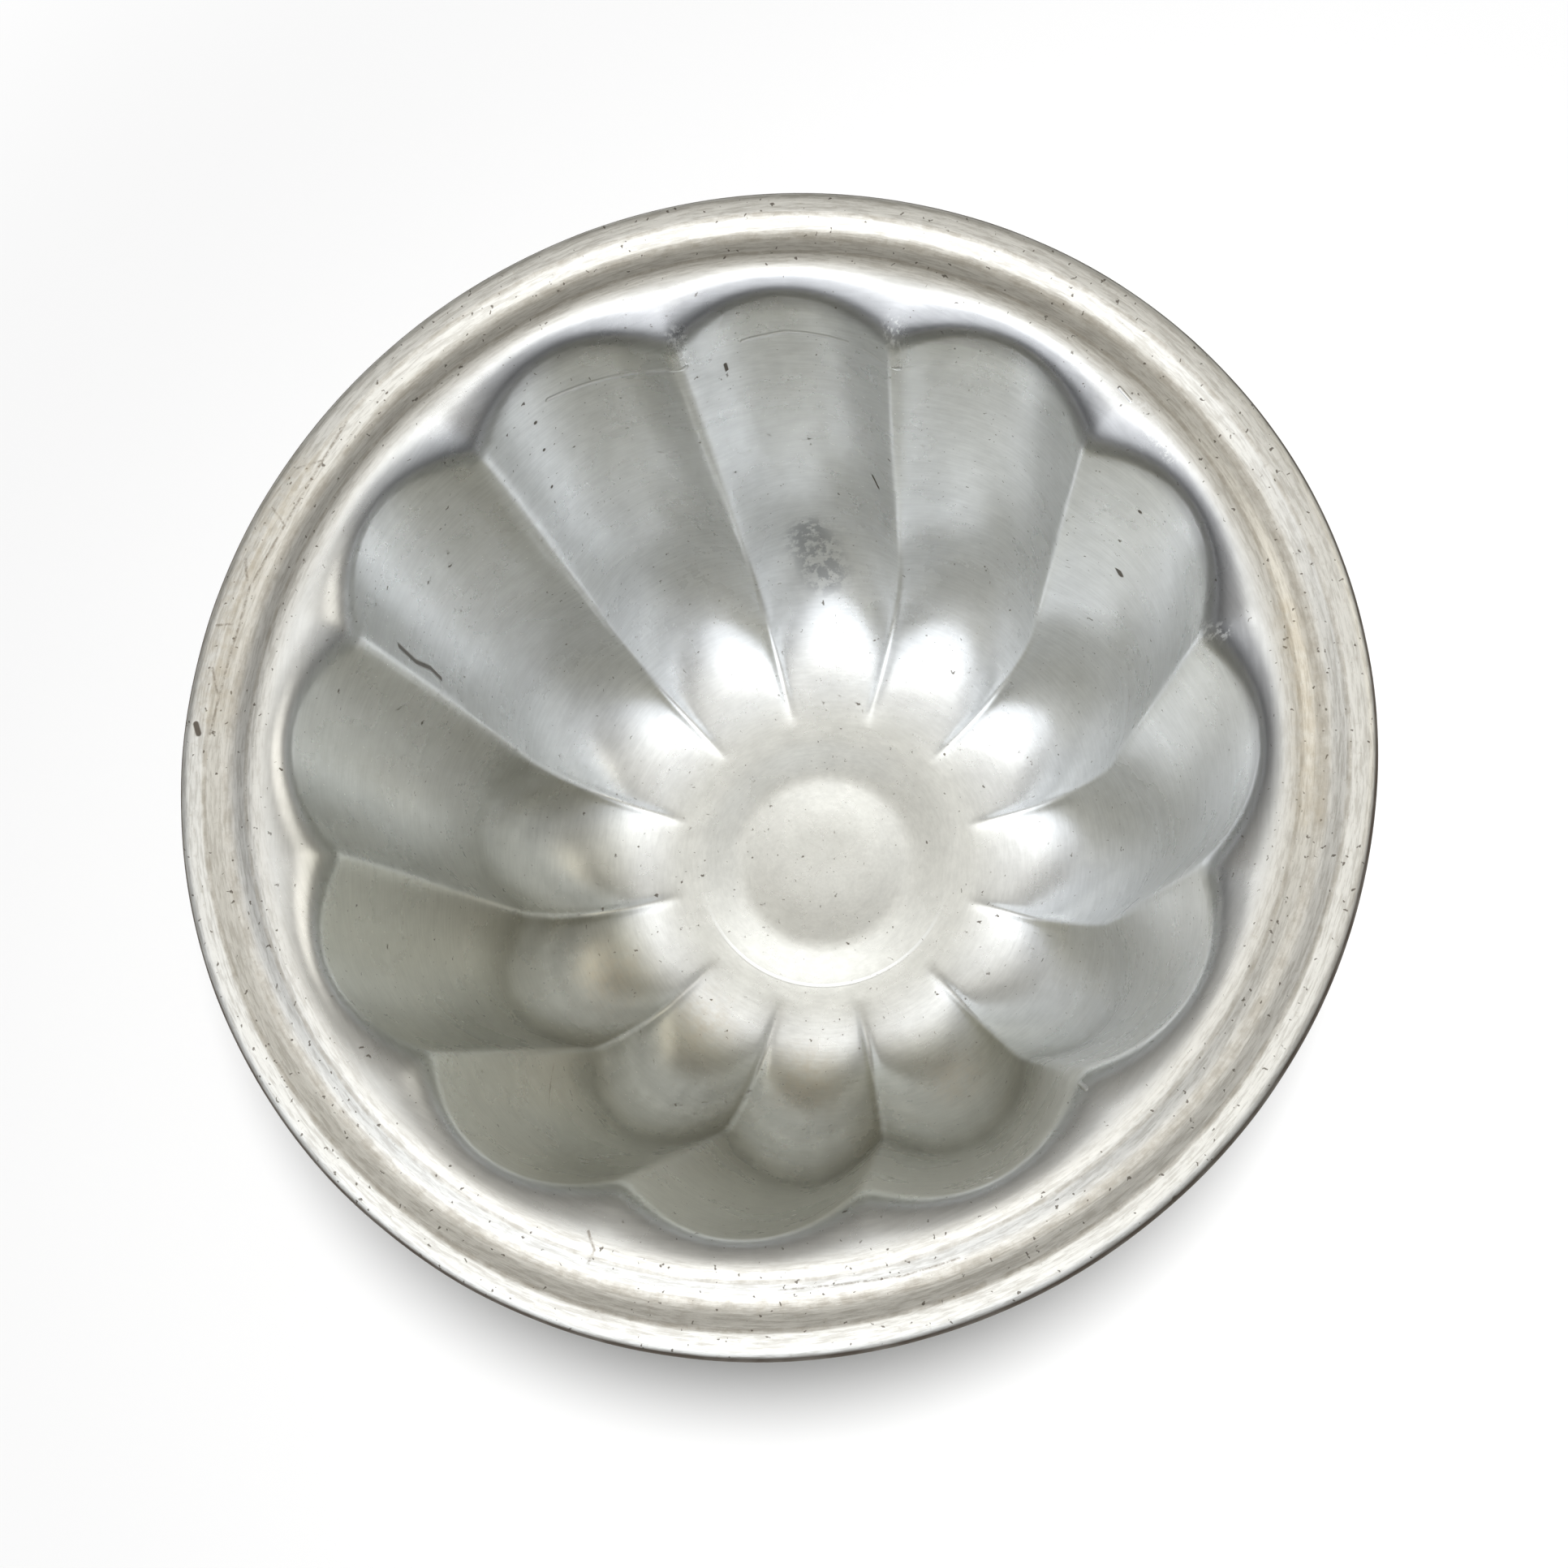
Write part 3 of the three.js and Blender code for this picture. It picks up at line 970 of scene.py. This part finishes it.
@dataclass
class RimWire:
    """The wire that the rolled edge is closed round."""

    ring_radius: float
    level: float
    thickness: float
    ring_steps: int = 192
    sides: int = 16

    def sweep_tree(self) -> NodeTree:
        """Builds the tree that sweeps a round wire along a ring, with its sizes as named inputs."""
        kinds = {"Ring Radius": "Float", "Wire Radius": "Float", "Level": "Float"}
        bench, given = open_tree("wire_round_rim", kinds)
        ring, profile = (
            bench.out("GeometryNodeCurvePrimitiveCircle", {"Resolution": steps, "Radius": given[radius]})
            for steps, radius in ((self.ring_steps, "Ring Radius"), (self.sides, "Wire Radius"))
        )
        swept = bench.out("GeometryNodeCurveToMesh", {"Curve": ring, "Profile Curve": profile})
        lift = {"Geometry": swept, "Offset": bench.combine(0.0, 0.0, given["Level"])}
        return close_tree(bench, bench.out("GeometryNodeSetPosition", lift), given["Finish"])

    def build(self, finish: DrawnSteel) -> Object:
        """Builds the wire in that finish and lets it stand for its solid."""
        material = finish.material()
        piece = link("rim_wire_ring", bpy.data.meshes.new("rim_wire_ring"))
        piece.data.materials.append(material)
        grow(piece, self.sweep_tree(), {
            "Ring Radius": self.ring_radius,
            "Wire Radius": self.thickness / 2,
            "Level": self.level,
            "Finish": material,
        })
        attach(piece, "root")
        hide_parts("rim_wire")
        return piece


@dataclass(frozen=True)
class SkyDisc:
    """A soft-edged disc of light in the sky, with angles in degrees."""

    azimuth: float
    elevation: float
    inner: float
    outer: float
    strength: float

    def light(self, bench: NodeBench, way: Wire) -> Wire:
        """Returns a wire that is the disc's strength where the way looked in meets it, and 0 outside."""
        middle = pointing(self.azimuth, self.elevation)
        inner, outer = (math.cos(math.radians(angle)) for angle in (self.inner, self.outer))
        return bench.ramp(bench.measure("DOT_PRODUCT", way, tuple(middle)), outer, inner, 0.0, self.strength)


@dataclass
class Studio:
    """A pale floor, a soft lamp for the shadow on it, and a sky of soft discs that the metal mirrors."""

    floor_radius: float = 4.0
    floor_sides: int = 96
    floor_colour: Colour = (0.90, 0.90, 0.90, 1.0)
    mirrored_floor: Colour = (0.52, 0.52, 0.50, 1.0)
    white: Colour = (1.0, 1.0, 1.0, 1.0)
    shadow_reach: float = 0.15
    lamp_azimuth: float = 311.8
    lamp_elevation: float = 82.3
    lamp_distance: float = 0.75
    lamp_size: float = 0.15
    lamp_power: float = 5.1
    level: float = 1.2
    even: float = 0.31
    horizon: float = 0.06
    upper: float = 0.43
    far_horizon: float = 0.15
    far_upper: float = 0.27
    side_spread: Span = (-0.6, 0.6)
    height_spread: Span = (0.1, 0.75)
    discs: tuple[SkyDisc, ...] = (
        SkyDisc(azimuth=212.0, elevation=50.0, inner=20.0, outer=46.0, strength=0.7),
        SkyDisc(azimuth=190.0, elevation=73.0, inner=19.0, outer=22.5, strength=0.45),
        SkyDisc(azimuth=0.0, elevation=90.0, inner=16.0, outer=36.0, strength=0.37),
        SkyDisc(azimuth=358.0, elevation=35.0, inner=10.0, outer=24.0, strength=0.95),
    )
    cool_side: float = 222.0
    cool: Colour = (0.97, 1.0, 1.03, 1.0)
    warm: Colour = (1.04, 1.0, 0.90, 1.0)

    def floor(self) -> None:
        """Builds the floor that the mould stands on."""
        bench = ShaderBench("pale_floor")
        mirrored = bench.add("ShaderNodeLightPath").outputs["Is Glossy Ray"]
        near_colour, far_colour = (
            bench.mix(mirrored, seen, self.mirrored_floor) for seen in (self.floor_colour, self.white)
        )
        matt = bench.out("ShaderNodeBsdfDiffuse", {"Color": near_colour})
        glowing = bench.out("ShaderNodeEmission", {"Color": far_colour})
        away = bench.measure("LENGTH", bench.add("ShaderNodeTexCoord").outputs["Object"])
        far = bench.ramp(away, self.shadow_reach, 2 * self.shadow_reach)
        shader = bench.out("ShaderNodeMixShader", {0: far, 1: matt, 2: glowing})
        turns = np.linspace(0.0, 2 * math.pi, self.floor_sides, endpoint=False)
        ring = [(self.floor_radius * math.cos(t), self.floor_radius * math.sin(t), 0.0) for t in turns]
        mesh = bpy.data.meshes.new("studio_floor")
        mesh.from_pydata(ring, [], [tuple(range(self.floor_sides))])
        mesh.materials.append(bench.finish(shader))
        floor = link("studio_floor", mesh)

    def lamp(self) -> None:
        """Builds the soft lamp that casts the mould's shadow, which the metal doesn't mirror."""
        data = bpy.data.lights.new("soft_lamp", "AREA")
        data.shape = "DISK"
        data.size = self.lamp_size
        data.energy = self.lamp_power
        lamp = link("soft_lamp", data)
        away = pointing(self.lamp_azimuth, self.lamp_elevation)
        lamp.location = away * self.lamp_distance
        lamp.rotation_euler = away.to_track_quat("Z", "Y").to_euler()
        lamp.visible_glossy = False

    def world(self) -> None:
        """Builds the light all round: the sky in the metal, an even light on the floor, and white behind."""
        world = bpy.data.worlds.new("studio_light")
        world.use_nodes = True
        bench = NodeBench(world.node_tree)
        bench.tree.nodes.clear()
        way = bench.add("ShaderNodeTexCoord").outputs["Generated"]
        height = bench.add("ShaderNodeSeparateXYZ", {0: way}).outputs[2]
        side = bench.measure("DOT_PRODUCT", way, tuple(pointing(self.cool_side, 0.0)))
        share = bench.ramp(side, *self.side_spread)
        low = bench.ramp(share, 0.0, 1.0, self.far_horizon, self.horizon)
        high = bench.ramp(share, 0.0, 1.0, self.far_upper, self.upper)
        lights = [disc.light(bench, way) for disc in self.discs]
        sky = bench.fold("ADD", [bench.ramp(height, *self.height_spread, low, high), *lights])
        path = bench.add("ShaderNodeLightPath").outputs
        plain = bench.blend(path["Is Camera Ray"], self.even, 1.0)
        strength = bench.blend(path["Is Glossy Ray"], plain, bench.product(sky, self.level))
        tint = bench.mix(path["Is Glossy Ray"], self.white, bench.mix(share, self.warm, self.cool))
        light = bench.out("ShaderNodeBackground", {"Color": tint, "Strength": strength})
        bench.add("ShaderNodeOutputWorld", {"Surface": light})
        bpy.context.scene.world = world

    def build(self) -> None:
        """Builds the floor, the lamp and the light all round."""
        self.floor()
        self.lamp()
        self.world()


@dataclass(frozen=True)
class PhotoCamera:
    """The camera, above the mould and turned as it was held."""

    place: tuple[float, float, float] = (0.000135, -0.0978, 0.39625)
    elevation: float = math.radians(73.8)
    roll: float = math.radians(-28.55)
    lens: float = 49.79
    sensor_width: float = 36.0
    clip_start: float = 0.01

    def build(self) -> None:
        """Builds the camera and makes it the scene's own."""
        data = bpy.data.cameras.new("photo_camera")
        data.sensor_width = self.sensor_width
        data.lens = self.lens
        data.clip_start = self.clip_start
        camera = link("photo_camera", data)
        ahead = Vector((0.0, math.cos(self.elevation), -math.sin(self.elevation)))
        level = Vector((1.0, 0.0, 0.0))
        above = Vector((0.0, math.sin(self.elevation), math.cos(self.elevation)))
        right = level * math.cos(self.roll) + above * math.sin(self.roll)
        up = above * math.cos(self.roll) - level * math.sin(self.roll)
        turn = Matrix((right, up, -ahead)).transposed().to_4x4()
        camera.matrix_world = Matrix.Translation(self.place) @ turn
        bpy.context.scene.camera = camera


def main() -> None:
    """Builds the pieces, the studio and the camera."""
    logging.basicConfig(level=logging.INFO, format="%(name)s: %(message)s")
    bpy.context.scene.view_settings.view_transform = "Standard"
    low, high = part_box("mould_shell")
    shell = PressedShell(rim_radius=(high.x - low.x) / 2, height=high.z).build(WornAluminium())
    wire_low, wire_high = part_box("rim_wire")
    thickness = wire_high.z - wire_low.z
    wire = RimWire(
        ring_radius=(wire_high.x - wire_low.x - thickness) / 2,
        level=(wire_high.z + wire_low.z) / 2,
        thickness=thickness,
    ).build(DrawnSteel())
    for piece in (shell, wire):
        LOG.info("%s: %d vertices, %d faces", piece.name, len(piece.data.vertices), len(piece.data.polygons))
    Studio().build()
    PhotoCamera().build()


if __name__ == "__main__":
    main()
